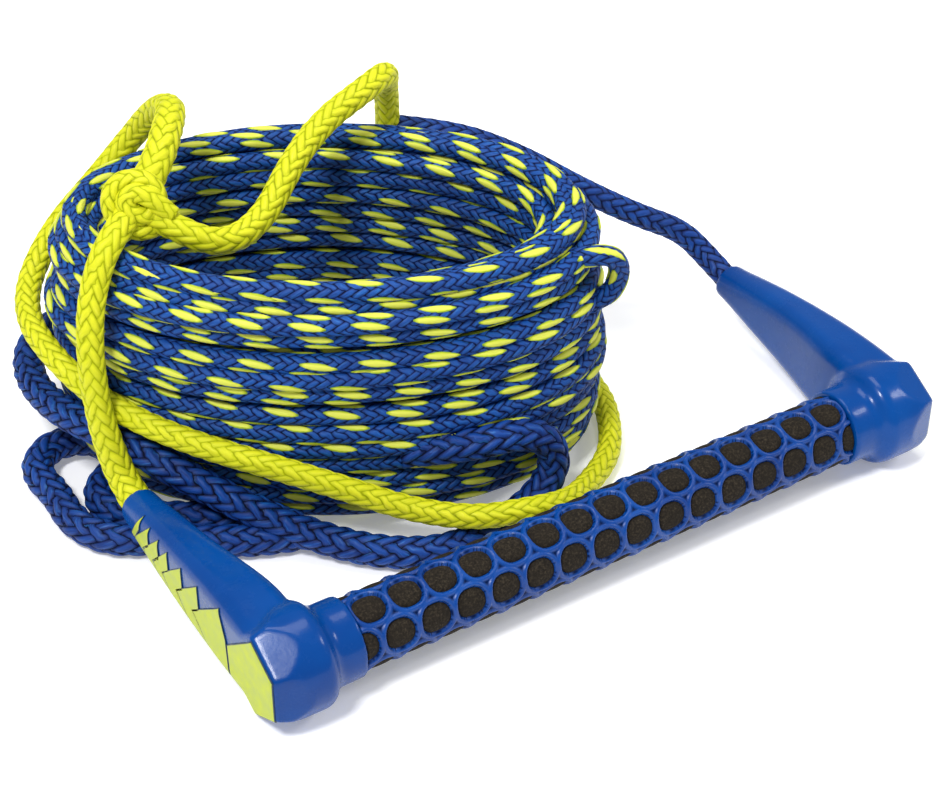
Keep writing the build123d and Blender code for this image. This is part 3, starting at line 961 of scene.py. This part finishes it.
def mark_groove_shade(skin):
    """A vector on each vertex whose first number is 1 in a groove, where the skin's material paints shade.
    """
    low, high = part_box("grip_honeycomb_skin")
    centre = (low + high) / 2
    places = np.array([v.co for v in skin.data.vertices]) - np.array(centre)
    radius = np.hypot(places[:, 1], places[:, 2])
    shares = (np.arctan2(places[:, 2], places[:, 1]) / (2 * pi) - 0.25) % 1
    out = window_distance(places[:, 0], shares)
    # The painted shade's mask: 1 low in the grooves and just over the windows' edges.
    groove_shade = np.clip((SKIN_R + GROOVE_SHADE_TOP - radius) / GROOVE_SHADE_BLEND, 0, 1) * (out > -GROOVE_SHADE_REACH)
    values = np.zeros((len(groove_shade), 3), np.float32)
    values[:, 0] = groove_shade
    attribute = skin.data.attributes.new("groove", "FLOAT_VECTOR", "POINT")
    attribute.data.foreach_set("vector", values.ravel())


def make_grip():
    """The blue net and the foam that stands in its windows."""
    skin = grip_tube("grip_skin", "grip_honeycomb_skin", SKIN_STEP, SKIN_AROUND, skin_radius)
    mark_groove_shade(skin)
    dress(skin, "skin")
    foam = grip_tube("grip_foam", "grip_foam_sleeve", FOAM_STEP, FOAM_AROUND, foam_radius)
    dress(foam, "foam")


def dress_frame():
    """The CAD pieces whose own shape stays."""
    dress(nodes["bar_tube"], "tube")
    dress(nodes["bar_foam_core"], "core")
    for side in ("left", "right"):
        dress(nodes["tube_plug_" + side], "plug")
    dress(nodes["rope_eye_left"], "eye_yellow")
    dress(nodes["rope_eye_right"], "eye_blue")


# ---------------------------------------------------------------- ropes: finish and facts

# Each cord's CAD node, exit, length, diameter, far end and lay.
CORDS = {
    "left_bridle_leg": ("bridle_rope_left", CAP_EXIT_LEFT, 0.129, BRIDLE_D, "knot", "loose"),
    "bridle_lead_rope": ("bridle_lead", KNOT_POS, 0.194, BRIDLE_D, "object", "loose"),
    "right_bridle_leg": ("bridle_rope_right", CAP_EXIT_RIGHT, 0.173, BRIDLE_D, "object", "loose"),
    "yellow_wrap_rope": ("lead_wrap", KNOT_POS, 0.575, BRIDLE_D, "object", "loose"),
    "take_off_rope": ("take_off_loop", TAKE_OFF_LOOP[0], 0.391, LOOP_D, "object", "loose"),
    "floor_loop_rope": ("ground_loop", GROUND_LOOP[0], 0.19, LOOP_D, "object", "loose"),
    "fold_inner_rope": ("fold_strand", FOLD_STRAND[0], 0.108, LOOP_D, "object", "loose"),
    "side_bight_line": ("side_bight", SIDE_BIGHT[0], 0.059, MAIN_D, "object", "loose"),
    "coiled_main_line": ("mainline_coil", LEAD_WRAP[-1], 20.5, MAIN_D, "object", "coiled"),
}
# Each cord's slot and its finishes.
FINISH = {
    "left_bridle_leg": ("rope_yellow", "yellow"),
    "bridle_lead_rope": ("rope_yellow", "yellow"),
    "right_bridle_leg": ("rope_blue", "bridle_blue"),
    "yellow_wrap_rope": ("rope_yellow", "yellow"),
    "take_off_rope": ("rope_blue", "blue"),
    "floor_loop_rope": ("rope_blue", "blue"),
    "fold_inner_rope": ("rope_blue", "blue"),
    "side_bight_line": ("rope_blue_fleck", "line", "fleck"),
    "coiled_main_line": ("rope_blue_fleck", "line", "fleck"),
}


def declare_ropes():
    """Gives each rope, and the knot's turns, its finish and body, puts the main line's flecks on their own
    material and hides the rope's CAD node.
    """
    knot = ropes["bridle_knot_turns"]
    dress(knot, "knot")
    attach(knot, "root")
    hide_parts("bridle_knot")
    for name, (node, exit_at, length, diameter, far_end, lay) in CORDS.items():
        piece = ropes[name]
        slot, *finishes = FINISH[name]
        dress(piece, *finishes)
        if name in fleck_slots:
            piece.data.polygons.foreach_set("material_index", fleck_slots[name])
        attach(piece, "root")
        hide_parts(node)


# ---------------------------------------------------------------- studio

FLOOR_SIZE = 12
FLOOR_Z = -0.0003
FLOOR_GLOW = 0.22
WORLD_LIGHT = 0.44


def area_light(name, place, aim, size, power):
    """A square lamp at a place, turned to face its aim."""
    light = bpy.data.lights.new(name, "AREA")
    light.energy = power
    light.size = size
    lamp = bpy.data.objects.new(name, light)
    lamp.location = place
    lamp.rotation_euler = (Vector(aim) - Vector(place)).to_track_quat("-Z", "Y").to_euler()
    bpy.context.scene.collection.objects.link(lamp)


def make_studio():
    """A white floor, an even white surround and three lamps."""
    bpy.ops.mesh.primitive_plane_add(size=FLOOR_SIZE, location=(0, 0, FLOOR_Z))
    floor = bpy.context.object
    floor.name = "studio_floor"
    g = Graph("studio_white")
    g.set(base_color=colour(250, 250, 251), roughness=0.9, specular_ior_level=0.0)
    g.set(emission_color=(1, 1, 1, 1), emission_strength=FLOOR_GLOW)
    floor.data.materials.append(g.material)
    world = bpy.data.worlds.new("studio")
    world.use_nodes = True
    background = world.node_tree.nodes["Background"]
    background.inputs[0].default_value = (1, 1, 1, 1)
    background.inputs[1].default_value = WORLD_LIGHT
    bpy.context.scene.world = world
    bpy.context.scene.view_settings.view_transform = "Standard"
    area_light("key", (-0.75, -0.35, 1.35), (0, 0.03, 0.03), 0.3, 17)
    area_light("fill", (0.95, -0.55, 0.95), (0, 0.03, 0.03), 0.3, 5)
    area_light("top", (0.1, 0.35, 1.6), (0, 0.05, 0.03), 0.8, 12)


for cap_side in ("left", "right"):
    make_label(cap_side, make_cap(cap_side))
make_grip()
dress_frame()
declare_ropes()
make_studio()
